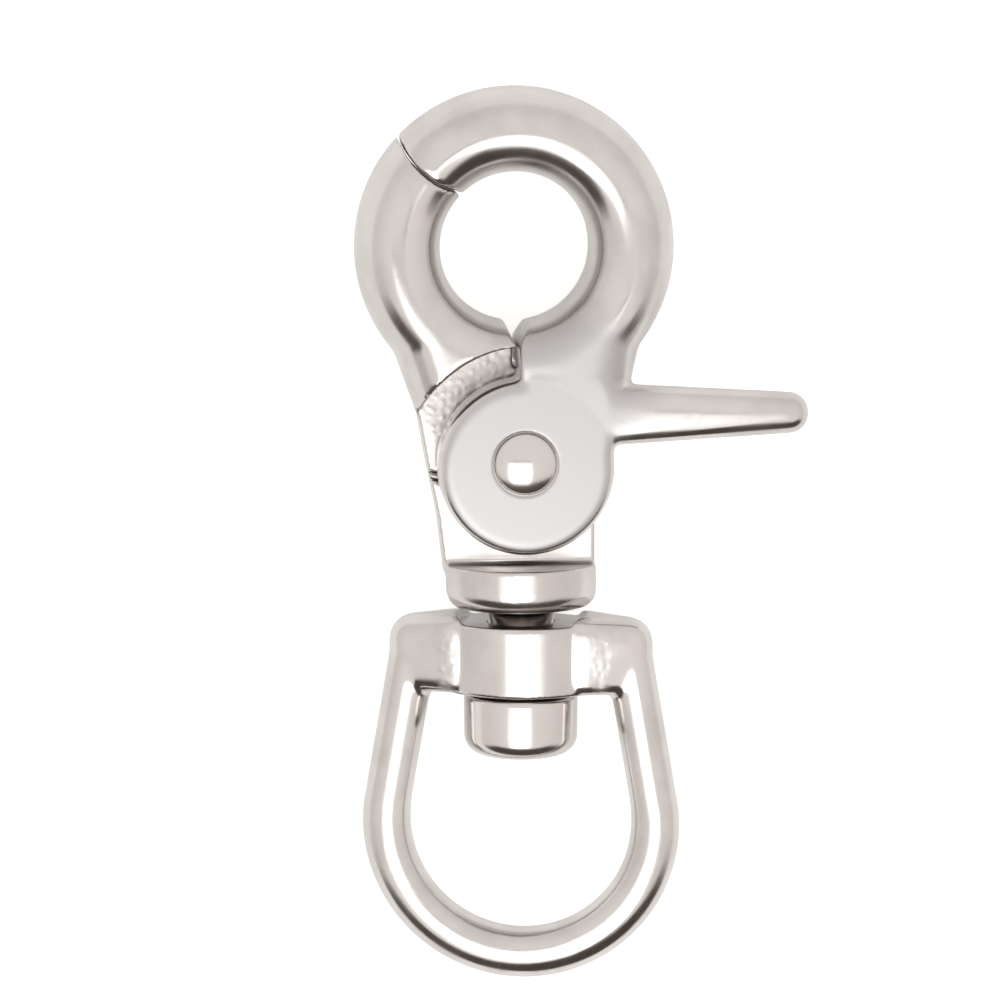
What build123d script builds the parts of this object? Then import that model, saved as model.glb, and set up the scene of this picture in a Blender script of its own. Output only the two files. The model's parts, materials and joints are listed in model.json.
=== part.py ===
from build123d import *

import math
import os

# A scissor snap hook, lying on its back.  The origin is on the pivot axis, in the plane of the
# back.  +Z points out of the front, +Y towards the ring and +X towards the thumb lever.

# --- overall ---------------------------------------------------------------------------------
body_thickness = 11.6        # of the ring, the boss of the fixed jaw and the two laps together
lap_gap = 0.2                # between the two laps
joint_gap = 0.3              # between the jaws where they meet under the ring
nose_gap = 0.15              # between the jaws at the mouth
step_clearance = 0.3         # between the rim of one lap and the step that it turns inside

# --- ring ------------------------------------------------------------------------------------
ring_x = -0.7                # centre of the ring
ring_y = 21.2
ring_outer_radius = 16.0
ring_hole_radius = 7.5
ring_crest_radius = 11.6     # where the section is thickest
ring_wall = 3.0              # height of the straight wall of the hole
joint_x = -0.7               # the jaws part here, under the hole
notch_width = 1.1            # V notch at the hole's edge
notch_depth = 2.2
mouth_angle = 136.2          # where the mouth closes, seen from the ring's centre
nose_radius = 7.9            # rounded nose of the lever jaw
nose_height = 0.95

# --- laps and pivot --------------------------------------------------------------------------
disc_radius = 8.8            # front lap, which belongs to the lever jaw
disc_x = 0.2
disc_y = -0.5
disc_edge = 1.0              # rounding of its rim
plate_radius = 8.9           # back lap, round the pivot, which belongs to the fixed jaw
step_gap = 2.25              # between the disc and the step of the fixed jaw above it
edge_round = 0.8             # rounding of the back lap's edges
rivet_radius = 2.25
rivet_head_radius = 3.0
rivet_head_rise = 0.7        # of the dome above the face of the disc
head_recess = 0.5            # depth of the seat round the head
head_recess_clearance = 0.3
head_seat_gap = 0.1
pivot_clearance = 0.05
tail_radius = 3.0            # back end of the rivet, peened flush
tail_depth = 0.9

# --- thumb lever -----------------------------------------------------------------------------
lever_tip_x = 26.5
lever_tip_y = 4.6
lever_tip_radius = 2.1
lever_root_x = 9.5
lever_root_top = 7.55
lever_root_bottom = 1.65
lever_thickness = 4.8
lever_edge = 1.7
neck_x = 10.7                # narrowest place between ring and lever
neck_y = 9.2
neck_shoulder_x = 13.4       # where the ring runs into the neck
neck_shoulder_y = 13.0

# --- spring ----------------------------------------------------------------------------------
wire_radius = 0.4
coil_radius = 3.9            # to the middle of the wire
coil_pitch = 0.88
coil_turns = 2
spring_clearance = 0.2
leg_end_x = -9.0             # end of the leg that shows at the edge of the plate
leg_end_y = -1.9
anchor_length = 3.6          # leg that pushes on the lever jaw

# --- boss and stem ---------------------------------------------------------------------------
boss_width = 15.0
boss_gap = 1.55              # between the disc and the top of the boss
boss_length = 4.5
boss_front_radius = 8.5
boss_edge = 1.0
stem_radius = 3.3
stem_grip = 4.0              # length of stem held in the boss
head_radius = 5.75
head_length = 6.2
head_edge = 2.0
eye_end_play = 1.3           # between boss and collar
head_play = 0.25             # between collar and head
stem_clearance = 0.08

# --- eye -------------------------------------------------------------------------------------
collar_width = 13.5
collar_length = 7.1
collar_depth = 11.4
collar_front_radius = 9.25
bar_radius = 2.7             # round bar of the loop
loop_radius = 13.7           # to the middle of the bar
loop_drop = 13.4             # from the collar's underside to the centre of the loop
shoulder_x = 10.7            # middle of the bar beside the collar
shoulder_rise = 0.7          # of the shoulders above the top of the collar
shoulder_depth = 8.0
shoulder_round = 3.6
shoulder_front_radius = 28.0
shoulder_low_x = 12.2        # the shoulder's lowest place, from the axis of the stem
shoulder_low_depth = 3.4     # and from the middle of the bar
floor_clearance = 0.1        # under the low side of the eye, which lies turned on its stem

# --- what follows from them ------------------------------------------------------------------
mid_z = body_thickness / 2
plate_top = mid_z - lap_gap / 2
disc_bottom = mid_z + lap_gap / 2
disc_reach = disc_radius + math.hypot(disc_x, disc_y)
step_radius = disc_reach + step_gap
boss_top = -disc_reach - boss_gap
boss_bottom = boss_top - boss_length
collar_top = boss_bottom - eye_end_play
collar_bottom = collar_top - collar_length
head_top = collar_bottom - head_play
loop_y = collar_bottom - loop_drop
loop_turn = math.asin((mid_z - bar_radius - floor_clearance) / loop_radius)
shoulder_reach = math.hypot(shoulder_low_x, shoulder_low_depth)
shoulder_slope = math.atan2(shoulder_low_depth, shoulder_low_x)
shoulder_turn = math.asin((mid_z - floor_clearance) / shoulder_reach) - shoulder_slope
eye_turn = math.degrees(min(loop_turn, shoulder_turn))
pocket_depth = (coil_turns * coil_pitch + 2 * wire_radius + spring_clearance - lap_gap) / 2
groove_width = 2 * (wire_radius + spring_clearance)
far = 80.0                   # beyond the whole hook


def slab(points, bottom, top):
    """A flat outline, given by its corners, from one height to another."""
    return Pos(0, 0, bottom) * extrude(make_face(Polyline(*points, close=True)), top - bottom)


def drum(x, y, radius, bottom, top):
    """A round column between two heights."""
    return Pos(x, y, bottom) * Cylinder(
        radius, top - bottom, align=(Align.CENTER, Align.CENTER, Align.MIN)
    )


def lens_bar(width, depth, front_radius, top_y, bottom_y):
    """A bar along Y whose front and back are flat arcs and whose sides are straight."""
    half = width / 2
    drop = front_radius - math.sqrt(front_radius**2 - half**2)
    edge_z = depth / 2 - drop
    outline = [
        ThreePointArc((-half, edge_z), (0, depth / 2), (half, edge_z)),
        Line((half, edge_z), (half, -edge_z)),
        ThreePointArc((half, -edge_z), (0, -depth / 2), (-half, -edge_z)),
        Line((-half, -edge_z), (-half, edge_z)),
    ]
    section = Plane((0, top_y, mid_z), x_dir=(1, 0, 0), z_dir=(0, -1, 0)) * make_face(outline)
    return extrude(section, top_y - bottom_y)


def along_y(radius, top_y, bottom_y):
    """A round bar on the axis of the stem."""
    middle = Pos(0, (top_y + bottom_y) / 2, mid_z)
    return middle * Rot(90, 0, 0) * Cylinder(radius, top_y - bottom_y)


def whole_ring():
    """The closed ring: oval in section, with a short straight wall round the hole."""
    low, high = mid_z - ring_wall / 2, mid_z + ring_wall / 2
    inner_run = ring_crest_radius - ring_hole_radius
    outer_run = ring_outer_radius - ring_crest_radius
    inner_rise = (body_thickness - ring_wall) / 2
    crest = ring_crest_radius
    outline = [
        Line((ring_hole_radius, low), (ring_hole_radius, high)),
        EllipticalCenterArc((crest, high), inner_run, inner_rise, 90, arc_size=90),
        EllipticalCenterArc((crest, mid_z), outer_run, mid_z, -90, arc_size=180),
        EllipticalCenterArc((crest, low), inner_run, inner_rise, 180, arc_size=90),
    ]
    section = Plane.XZ * make_face(outline)
    return Pos(ring_x, ring_y, 0) * revolve(section, Axis.Z)


def ring_point(radius, angle):
    """A point seen from the centre of the ring."""
    turn = math.radians(angle)
    return ring_x + radius * math.cos(turn), ring_y + radius * math.sin(turn)


def nose_centre():
    """The axis of the rounded nose that closes the mouth."""
    x, y = ring_point((ring_outer_radius + ring_hole_radius) / 2 + 0.5, mouth_angle)
    turn = math.radians(mouth_angle)
    reach = nose_radius - nose_height
    return x + reach * math.sin(turn), y - reach * math.cos(turn)


def jaw_side(left_of, opening):
    """All that lies on the fixed jaw's side of the joint and of the mouth."""
    shift = math.radians(mouth_angle)
    mouth = ring_point(far, mouth_angle)
    aside = (-opening * math.sin(shift), opening * math.cos(shift))
    return slab(
        [
            (left_of, ring_y),
            (mouth[0] + aside[0], mouth[1] + aside[1]),
            (-far, mouth[1]),
            (-far, -far),
            (left_of, -far),
        ],
        -far,
        far,
    )


def notch():
    """The V between the jaws at the edge of the hole."""
    edge_y = ring_y - ring_hole_radius
    return slab(
        [
            (joint_x - notch_width, edge_y + notch_depth),
            (joint_x + notch_width, edge_y + notch_depth),
            (joint_x, edge_y - notch_depth),
        ],
        -1,
        body_thickness + 1,
    )


def pivot_hole(radius):
    return drum(0, 0, radius, -1, body_thickness + 1)


def spring_pocket(bottom, top):
    """The round groove that the coil lies in."""
    reach = wire_radius + spring_clearance
    outer = drum(0, 0, coil_radius + reach, bottom, top)
    return outer - drum(0, 0, coil_radius - reach, bottom - 1, top + 1)


def leg_start():
    """Where the leg towards the edge of the plate leaves the coil, as an angle in degrees."""
    reach = math.hypot(leg_end_x, leg_end_y)
    bearing = math.degrees(math.atan2(leg_end_y, leg_end_x)) % 360
    return bearing + math.degrees(math.acos(coil_radius / reach))


def coil_point(angle):
    turn = math.radians(angle)
    return coil_radius * math.cos(turn), coil_radius * math.sin(turn)


def anchor_end():
    """The end of the leg in the lever jaw, which leaves the coil where the other leg does."""
    turn = math.radians(leg_start())
    x, y = coil_point(leg_start())
    return x - anchor_length * math.sin(turn), y + anchor_length * math.cos(turn)


def groove(start, end, beyond, bottom, top):
    """A straight groove for a leg of the spring, which runs on a little beyond its end."""
    length = math.dist(start, end)
    bearing = math.degrees(math.atan2(end[1] - start[1], end[0] - start[0]))
    align = (Align.MIN, Align.CENTER, Align.MIN)
    box = Box(length + beyond, groove_width, top - bottom, align=align)
    return Pos(start[0], start[1], bottom) * Rot(0, 0, bearing) * box


def fixed_jaw():
    """The left jaw, its lap, and the boss that holds the stem, cast in one piece."""
    jaw = whole_ring() & jaw_side(joint_x - joint_gap / 2, 0)
    nose_x, nose_y = nose_centre()
    jaw -= drum(nose_x, nose_y, nose_radius + nose_gap, -1, body_thickness + 1)
    root = slab(
        [
            (-14.0, 12.5),
            (-12.2, 10.4),
            (-11.4, 8.8),
            (-10.4, 4.5),
            (-6.0, 4.5),
            (joint_x - joint_gap / 2, 8.0),
            (joint_x - joint_gap / 2, 12.0),
            (-8.0, 14.0),
        ],
        0,
        body_thickness,
    )
    outer_edges = [e for e in root.edges() if e.center().X < -10.6 and abs(e.tangent_at(0.5).Z) < 0.5]
    root = chamfer(outer_edges, 1.6)
    front_cut = drum(0, 0, step_radius, plate_top, body_thickness + 1)
    front_cut += slab(
        [(-far, boss_top), (far, boss_top), (far, 2), (-far, 2)], plate_top, body_thickness + 1
    )
    plate = slab(
        [
            (-10.4, 4.6),
            (-9.2, -1.5),
            (-8.3, -6.0),
            (-boss_width / 2, boss_top),
            (boss_width / 2, boss_top),
            (boss_width / 2, -4.7),
            (0, 0),
            (0, 8),
        ],
        0,
        plate_top,
    )
    plate += drum(0, 0, plate_radius, 0, plate_top)
    back_edges = plate.faces().sort_by(Axis.Z)[0].edges()
    plate = chamfer([e for e in back_edges if e.center().Y > boss_top + 0.1], edge_round)
    boss = lens_bar(boss_width, body_thickness, boss_front_radius, boss_top, boss_bottom)
    boss = fillet(boss.faces().sort_by(Axis.Y)[0].edges(), boss_edge)
    body = (jaw + root - front_cut) + plate + boss
    body -= notch()
    body -= along_y(stem_radius, boss_bottom + stem_grip, boss_bottom - 1)
    body -= pivot_hole(rivet_radius)
    body -= drum(0, 0, tail_radius, -1, tail_depth)
    body -= spring_pocket(plate_top - pocket_depth, plate_top + 1)
    leg_end = (leg_end_x, leg_end_y)
    body -= groove(coil_point(leg_start()), leg_end, 3.0, plate_top - pocket_depth, plate_top + 1)
    return body


def thumb_lever():
    """The tapered lever, with its long edges rounded."""
    low = body_thickness - 0.2 - lever_thickness
    bar = slab(
        [
            (lever_root_x - 4, lever_root_bottom - 0.2),
            (lever_tip_x, lever_tip_y - lever_tip_radius),
            (lever_tip_x, lever_tip_y + lever_tip_radius),
            (lever_root_x - 4, lever_root_top + 0.2),
        ],
        low,
        low + lever_thickness,
    )
    bar += drum(lever_tip_x, lever_tip_y, lever_tip_radius, low, low + lever_thickness)
    rims = bar.faces().sort_by(Axis.Z)
    rounded = [e for f in (rims[0], rims[-1]) for e in f.edges() if e.center().X > lever_root_x]
    return fillet(rounded, lever_edge)


def lever_jaw():
    """The right jaw, its round lap and the thumb lever, cast in one piece."""
    ring = whole_ring() - jaw_side(joint_x + joint_gap / 2, 0)
    nose_x, nose_y = nose_centre()
    ring += whole_ring() & drum(nose_x, nose_y, nose_radius, -1, body_thickness + 1)
    left = joint_x + joint_gap / 2
    neck = slab(
        [
            (left, 6.0),
            (left, 12.0),
            (6.0, 14.5),
            (neck_shoulder_x, neck_shoulder_y),
            (neck_x, neck_y),
            (neck_x, lever_root_top - 0.4),
            (8.0, 4.0),
        ],
        0,
        body_thickness,
    )
    right_edges = [
        e for e in neck.edges() if e.center().X > 9.0 and abs(e.tangent_at(0.5).Z) < 0.5
    ]
    neck = chamfer(right_edges, 1.4)
    disc = drum(disc_x, disc_y, disc_radius, disc_bottom, body_thickness)
    disc = fillet(disc.faces().sort_by(Axis.Z)[-1].edges(), disc_edge)
    bridge = slab(
        [(left, 3.0), (left, 10.0), (neck_x - 0.8, neck_y), (8.6, 3.0)], disc_bottom, body_thickness
    )
    recess = drum(0, 0, plate_radius + step_clearance, -1, disc_bottom)
    body = ring + neck - recess + disc + bridge + thumb_lever()
    body -= notch()
    body -= pivot_hole(rivet_radius + pivot_clearance)
    seat = rivet_head_radius + head_recess_clearance
    body -= drum(0, 0, seat, body_thickness - head_recess, body_thickness + 1)
    body -= spring_pocket(disc_bottom - 1, disc_bottom + pocket_depth)
    floor = disc_bottom + pocket_depth
    body -= groove(coil_point(leg_start()), anchor_end(), spring_clearance, disc_bottom - 1, floor)
    return body


def pivot_rivet():
    """The rivet: a domed head in front and a tail peened flush behind."""
    seat_z = body_thickness - head_recess + head_seat_gap
    top = body_thickness + rivet_head_rise
    rim = 0.35
    outline = [
        Line((0, 0), (tail_radius, 0)),
        Line((tail_radius, 0), (tail_radius, tail_depth)),
        Line((tail_radius, tail_depth), (rivet_radius, tail_depth)),
        Line((rivet_radius, tail_depth), (rivet_radius, seat_z)),
        Line((rivet_radius, seat_z), (rivet_head_radius, seat_z)),
        Line((rivet_head_radius, seat_z), (rivet_head_radius, seat_z + rim)),
        RadiusArc(
            (rivet_head_radius, seat_z + rim),
            (0, top),
            -(rivet_head_radius**2 + (top - seat_z - rim) ** 2) / (2 * (top - seat_z - rim)),
        ),
        Line((0, top), (0, 0)),
    ]
    return revolve(Plane.XZ * make_face(outline), Axis.Z)


def torsion_spring():
    """The coil round the rivet, with a leg to each jaw."""
    low = plate_top - pocket_depth + spring_clearance / 2 + wire_radius
    height = coil_turns * coil_pitch
    start = leg_start()
    x, y = coil_point(start)
    coil = Pos(0, 0, low) * Rot(0, 0, start) * Helix(coil_pitch, height, coil_radius)
    section = Plane((x, y, low), z_dir=coil % 0) * Circle(wire_radius)
    spring = sweep(section, path=coil)
    ends = [((x, y, low), (leg_end_x, leg_end_y, low))]
    ends.append(((x, y, low + height), (*anchor_end(), low + height)))
    for inner, outer in ends:
        spring += Pos(*inner) * Sphere(wire_radius)
        run = Vector(*outer) - Vector(*inner)
        leg = Plane(inner, z_dir=run) * Cylinder(
            wire_radius, run.length, align=(Align.CENTER, Align.CENTER, Align.MIN)
        )
        spring += leg
    return spring


def swivel_stem():
    """The stem: pressed into the boss, with a round head below the eye."""
    head = along_y(head_radius, head_top, head_top - head_length)
    head = fillet(head.faces().sort_by(Axis.Y)[0].edges(), head_edge)
    head = fillet(head.faces().sort_by(Axis.Y)[-1].edges(), 0.6)
    return head + along_y(stem_radius, boss_bottom + stem_grip, head_top - 1)


def half_loop_path():
    """The middle line of the bar, from one shoulder round to the other."""
    top = (shoulder_x, collar_top - 3.4)
    reach = math.dist(top, (0, loop_y))
    bearing = math.atan2(top[1] - loop_y, top[0])
    touch = bearing - math.acos(loop_radius / reach)
    x, y = loop_radius * math.cos(touch), loop_y + loop_radius * math.sin(touch)
    right = Line(top, (x, y))
    bottom = ThreePointArc((x, y), (0, loop_y - loop_radius), (-x, y))
    left = Line((-x, y), (-top[0], top[1]))
    return Pos(0, 0, mid_z) * Wire([right.edge(), bottom.edge(), left.edge()])


def swivel_eye():
    """The collar and the D-shaped loop, cast in one piece."""
    path = half_loop_path()
    loop = sweep(Plane(path @ 0, z_dir=path % 0) * Circle(bar_radius), path=path)
    top = collar_top + shoulder_rise
    outer = shoulder_x + bar_radius
    block = slab(
        [(-outer, collar_bottom), (outer, collar_bottom), (outer, top), (-outer, top)],
        mid_z - shoulder_depth / 2,
        mid_z + shoulder_depth / 2,
    )
    corners = block.edges().filter_by(Axis.Z).sort_by(Axis.Y)[2:]
    block = fillet(corners, shoulder_round)
    block = fillet(block.edges().filter_by(Axis.Z, reverse=True), 1.5)
    sides = lens_bar(2 * outer + 2, collar_depth, shoulder_front_radius, top + 1, collar_bottom - 1)
    collar = lens_bar(collar_width, collar_depth, collar_front_radius, collar_top, collar_bottom)
    inside = slab(
        [
            (-collar_width / 2, collar_bottom),
            (collar_width / 2, collar_bottom),
            (collar_width / 2, top + 1),
            (-collar_width / 2, top + 1),
        ],
        -1,
        body_thickness + 1,
    )
    eye = (block & sides) - inside + collar + loop
    eye -= along_y(stem_radius + stem_clearance, top + 1, collar_bottom - 1)
    axis = Axis((0, 0, mid_z), (0, 1, 0))
    return eye.rotate(axis, -eye_turn)


os.makedirs("parts", exist_ok=True)
export_step(fixed_jaw(), "parts/fixed_jaw.step")
export_step(lever_jaw(), "parts/lever_jaw.step")
export_step(pivot_rivet(), "parts/pivot_rivet.step")
export_step(torsion_spring(), "parts/torsion_spring.step")
export_step(swivel_stem(), "parts/swivel_stem.step")
export_step(swivel_eye(), "parts/swivel_eye.step")
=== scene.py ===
"""Looks of a scissor snap hook: cast jaws, rivet, spring, stem and swivel eye, and the studio."""

from __future__ import annotations

import json
import logging
import math
from dataclasses import dataclass, field
from enum import Enum
from typing import Callable, Sequence

import bpy
from mathutils import Matrix, Vector

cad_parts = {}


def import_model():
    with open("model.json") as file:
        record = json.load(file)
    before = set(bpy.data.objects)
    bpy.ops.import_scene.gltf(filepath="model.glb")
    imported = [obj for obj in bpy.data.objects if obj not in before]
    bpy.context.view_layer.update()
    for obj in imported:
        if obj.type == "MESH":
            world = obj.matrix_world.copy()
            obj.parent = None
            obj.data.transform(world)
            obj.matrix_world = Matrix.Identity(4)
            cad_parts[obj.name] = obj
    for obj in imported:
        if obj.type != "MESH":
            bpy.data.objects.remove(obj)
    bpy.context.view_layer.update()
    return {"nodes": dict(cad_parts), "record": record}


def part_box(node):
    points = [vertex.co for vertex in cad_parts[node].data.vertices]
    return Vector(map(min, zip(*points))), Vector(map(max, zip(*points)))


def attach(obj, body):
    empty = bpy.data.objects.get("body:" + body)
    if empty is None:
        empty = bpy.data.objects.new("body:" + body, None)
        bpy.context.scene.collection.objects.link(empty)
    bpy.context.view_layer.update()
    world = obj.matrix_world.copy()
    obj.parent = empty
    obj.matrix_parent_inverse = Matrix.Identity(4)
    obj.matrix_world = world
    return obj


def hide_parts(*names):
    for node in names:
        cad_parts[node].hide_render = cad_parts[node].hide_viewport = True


LOG = logging.getLogger("snap_hook")
MM = 0.001
MERGE = 0.0005  # points nearer than this are one point
NEAR = 0.01  # points nearer than this to a plane lie on it
ROUND_SIDES = 128  # sides of a turned piece and of a round column
BORE_SIDES = 72  # points round the ring's section, a collar and a bore along the stem
RING_STEPS = 192  # steps in which the ring's section goes round
Flat = tuple[float, float]
Solid = tuple[float, float, float]


class Body(Enum):
    """The moving bodies of the hook."""

    HOOK = "hook"
    LEVER = "lever"
    EYE = "eye"


class Slot(Enum):
    """The record's material slots."""

    CASTING = "polished_casting"
    TURNED = "turned_steel"
    WIRE = "spring_wire"


class Cut(Enum):
    """What a boolean tool does to a piece."""

    REMOVE = "DIFFERENCE"
    KEEP = "INTERSECT"


# ---------------------------------------------------------------------------------------------
# Bench work: small operations on meshes.  Sizes are in millimetres, meshes in metres.
# ---------------------------------------------------------------------------------------------


def clear_selection() -> None:
    """Deselects everything, so that the next operator acts on nothing else."""
    bpy.ops.object.select_all(action="DESELECT")


def take(piece: bpy.types.Object) -> None:
    """Selects one piece alone and makes it active.

    Args:
        piece: The piece to work on.
    """
    clear_selection()
    piece.select_set(True)
    bpy.context.view_layer.objects.active = piece


def apply_modifier(piece: bpy.types.Object, kind: str, **settings: object) -> None:
    """Adds a modifier to a piece and applies it.

    Args:
        piece: The piece to change.
        kind: Type of the modifier.
        **settings: The modifier's settings.
    """
    take(piece)
    step = piece.modifiers.new(kind.lower(), kind)
    for name, value in settings.items():
        setattr(step, name, value)
    bpy.ops.object.modifier_apply(modifier=step.name)


def edit(piece: bpy.types.Object, *steps: Callable[[], object], mode: str = "VERT") -> None:
    """Runs edit-mode steps on the whole of a piece.

    Args:
        piece: The piece to edit.
        *steps: Calls to edit-mode operators, made in order.
        mode: The selection mode.
    """
    take(piece)
    bpy.ops.object.mode_set(mode="EDIT")
    bpy.ops.mesh.select_mode(type=mode)
    bpy.ops.mesh.select_all(action="SELECT")
    for step in steps:
        step()
    bpy.ops.object.mode_set(mode="OBJECT")


def close_up(piece: bpy.types.Object) -> None:
    """Merges doubled points and turns all faces outwards.

    Args:
        piece: The piece to mend.
    """
    edit(
        piece,
        lambda: bpy.ops.mesh.remove_doubles(threshold=MERGE * MM),
        lambda: bpy.ops.mesh.normals_make_consistent(inside=False),
    )


def outline_ring(name: str, points: Sequence[Solid], filled: bool) -> bpy.types.Object:
    """A closed outline through the given points.

    Args:
        name: Name of the new piece.
        points: Corners in order, in millimetres.
        filled: Whether the outline is a face.

    Returns:
        The outline as a mesh object.
    """
    clear_selection()
    bpy.ops.mesh.primitive_circle_add(
        vertices=len(points), radius=MM, fill_type="NGON" if filled else "NOTHING"
    )
    piece = bpy.context.active_object
    piece.name = name
    for corner, point in zip(piece.data.vertices, points):
        corner.co = Vector(point) * MM
    return piece


def prism(name: str, points: Sequence[Solid], run: Solid) -> bpy.types.Object:
    """An outline pulled straight along a run.

    Args:
        name: Name of the new piece.
        points: Corners of the outline in order, in millimetres.
        run: How far and which way it is pulled, in millimetres.

    Returns:
        The new mesh object.
    """
    piece = outline_ring(name, points, True)
    pull = {"value": tuple(Vector(run) * MM)}
    edit(piece, lambda: bpy.ops.mesh.extrude_region_move(TRANSFORM_OT_translate=pull), mode="FACE")
    close_up(piece)
    return piece


def slab(name: str, points: Sequence[Flat], low: float, high: float) -> bpy.types.Object:
    """A flat outline between two heights.

    Args:
        name: Name of the new piece.
        points: Corners seen from the front, in millimetres.
        low: Its lower height.
        high: Its upper height.

    Returns:
        The new mesh object.
    """
    return prism(name, [(x, y, low) for x, y in points], (0, 0, high - low))


def arc(centre: Flat, radius: float, start: float, end: float, count: int) -> list[Flat]:
    """Points along an arc.

    Args:
        centre: Centre of the arc.
        radius: Its radius.
        start: Bearing of the first point, in degrees.
        end: Bearing of the last point, in degrees.
        count: Number of points, both ends included.

    Returns:
        The points in order.
    """
    points = []
    for index in range(count):
        turn = math.radians(start + (end - start) * index / (count - 1))
        points.append((centre[0] + radius * math.cos(turn), centre[1] + radius * math.sin(turn)))
    return points


def drum(name: str, centre: Flat, radius: float, low: float, high: float) -> bpy.types.Object:
    """A round column between two heights.

    Args:
        name: Name of the new piece.
        centre: Its centre seen from the front, in millimetres.
        radius: Its radius.
        low: Its lower height.
        high: Its upper height.

    Returns:
        The new mesh object.
    """
    return slab(name, arc(centre, radius, 0, 360 - 360 / ROUND_SIDES, ROUND_SIDES), low, high)


def rod(name: str, radius: float, middle: float, start: float, end: float) -> bpy.types.Object:
    """A round column along the stem, used as a drill.

    Args:
        name: Name of the new piece.
        radius: Its radius, in millimetres.
        middle: Height of its axis.
        start: Where it starts, along Y.
        end: Where it ends, along Y.

    Returns:
        The new mesh object.
    """
    points = [(x, start, z) for x, z in arc((0, middle), radius, 0, 355, BORE_SIDES)]
    return prism(name, points, (0, end - start, 0))


def pebble(name: str, centre: Solid, radii: Solid, squareness: float = 2.0) -> bpy.types.Object:
    """A rounded lump: an ellipsoid, or a squarer one.

    Args:
        name: Name of the new piece.
        centre: Its middle, in millimetres.
        radii: Its half sizes, in millimetres.
        squareness: 2 is an ellipsoid, and more brings it nearer to a block.

    Returns:
        The new mesh object.
    """
    clear_selection()
    bpy.ops.mesh.primitive_uv_sphere_add(segments=64, ring_count=32, radius=1.0)
    piece = bpy.context.active_object
    piece.name = name
    for corner in piece.data.vertices:
        spread = sum(abs(part) ** squareness for part in corner.co) ** (-1 / squareness)
        corner.co = Vector(
            (middle + half * part * spread) * MM
            for middle, half, part in zip(centre, radii, corner.co)
        )
    return piece


@dataclass(frozen=True)
class Lump:
    """A rounded lump that a casting's skin is stretched over.

    Args:
        centre: Its middle seen from the front, in millimetres.
        radii: Its half width and half length.
        half_height: Its half height; None lets it reach down to the floor.
        squareness: 2 is an ellipsoid, and more brings it nearer to a block.
    """

    centre: Flat
    radii: Flat
    half_height: float | None = None
    squareness: float = 2.0

    def build(self, name: str, level: float, side: int = 1) -> bpy.types.Object:
        """Builds the lump.

        Args:
            name: Name of the new piece.
            level: Height of its middle, in millimetres.
            side: 1 as given, and -1 for its mirror image across the hook.

        Returns:
            The new mesh object.
        """
        centre = (side * self.centre[0], self.centre[1], level)
        half_height = level if self.half_height is None else self.half_height
        return pebble(name, centre, (*self.radii, half_height), self.squareness)


def skin_over(
    name: str, lumps: Sequence[Lump], level: float, side: int = 1
) -> bpy.types.Object:
    """The skin over several lumps at one height.

    Args:
        name: Name of the new piece.
        lumps: The lumps.
        level: Height of their middles, in millimetres.
        side: 1 as given, and -1 for their mirror image across the hook.

    Returns:
        The new mesh object.
    """
    return hull(name, [lump.build(name, level, side) for lump in lumps])


def join(name: str, pieces: Sequence[bpy.types.Object]) -> bpy.types.Object:
    """Makes several meshes one piece, without blending them.

    Args:
        name: Name of the joined piece.
        pieces: The meshes, of which the first is kept.

    Returns:
        The joined mesh object.
    """
    take(pieces[0])
    for piece in pieces[1:]:
        piece.select_set(True)
    if len(pieces) > 1:
        bpy.ops.object.join()
    pieces[0].name = name
    return pieces[0]


def hull(name: str, pieces: Sequence[bpy.types.Object]) -> bpy.types.Object:
    """The smooth skin stretched over several lumps.

    Args:
        name: Name of the new piece.
        pieces: The lumps under the skin.

    Returns:
        The new mesh object.
    """
    piece = join(name, pieces)
    edit(piece, lambda: bpy.ops.mesh.convex_hull())
    return piece


def cut(piece: bpy.types.Object, tool: bpy.types.Object, how: Cut = Cut.REMOVE) -> None:
    """Cuts a piece with a tool, and throws the tool away.

    Args:
        piece: The piece to cut.
        tool: The closed mesh that cuts it.
        how: Whether the tool's inside goes or stays.
    """
    apply_modifier(piece, "BOOLEAN", object=tool, operation=how.value, solver="MANIFOLD")
    mesh = tool.data
    bpy.data.objects.remove(tool)
    bpy.data.meshes.remove(mesh)


def cast_skin(piece: bpy.types.Object, grain: float, rounds: int) -> None:
    """Gives a piece one even skin, with its edges and corners run together as in a casting.

    Args:
        piece: The piece, which may be several lumps.
        grain: Size of the skin's faces, in millimetres.
        rounds: Rounds of smoothing: more makes larger radii.
    """
    apply_modifier(piece, "REMESH", mode="VOXEL", voxel_size=grain * MM, use_smooth_shade=True)
    apply_modifier(piece, "SMOOTH", factor=0.5, iterations=rounds)


def soften(piece: bpy.types.Object, width: float, segments: int = 4, angle: float = 30) -> None:
    """Rounds the sharp edges of a plain piece.

    Args:
        piece: The piece to change.
        width: Width of the rounding, in millimetres.
        segments: Faces across it.
        angle: Edges flatter than this stay, in degrees.
    """
    apply_modifier(
        piece,
        "BEVEL",
        width=width * MM,
        segments=segments,
        limit_method="ANGLE",
        angle_limit=math.radians(angle),
    )


def round_end(piece: bpy.types.Object, end: float, width: float) -> None:
    """Rounds the edges of the end of a piece that lies square to Y.

    Args:
        piece: The piece to change.
        end: Where the end is, along Y, in millimetres.
        width: Width of the rounding, in millimetres.
    """
    edit(piece, lambda: bpy.ops.mesh.select_all(action="DESELECT"), mode="EDGE")
    points = piece.data.vertices
    for side in piece.data.edges:
        side.select = all(abs(points[index].co.y - end * MM) < NEAR * MM for index in side.vertices)
    bpy.ops.object.mode_set(mode="EDIT")
    bpy.ops.mesh.bevel(offset=width * MM, segments=8, profile=0.5)
    bpy.ops.object.mode_set(mode="OBJECT")


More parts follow.
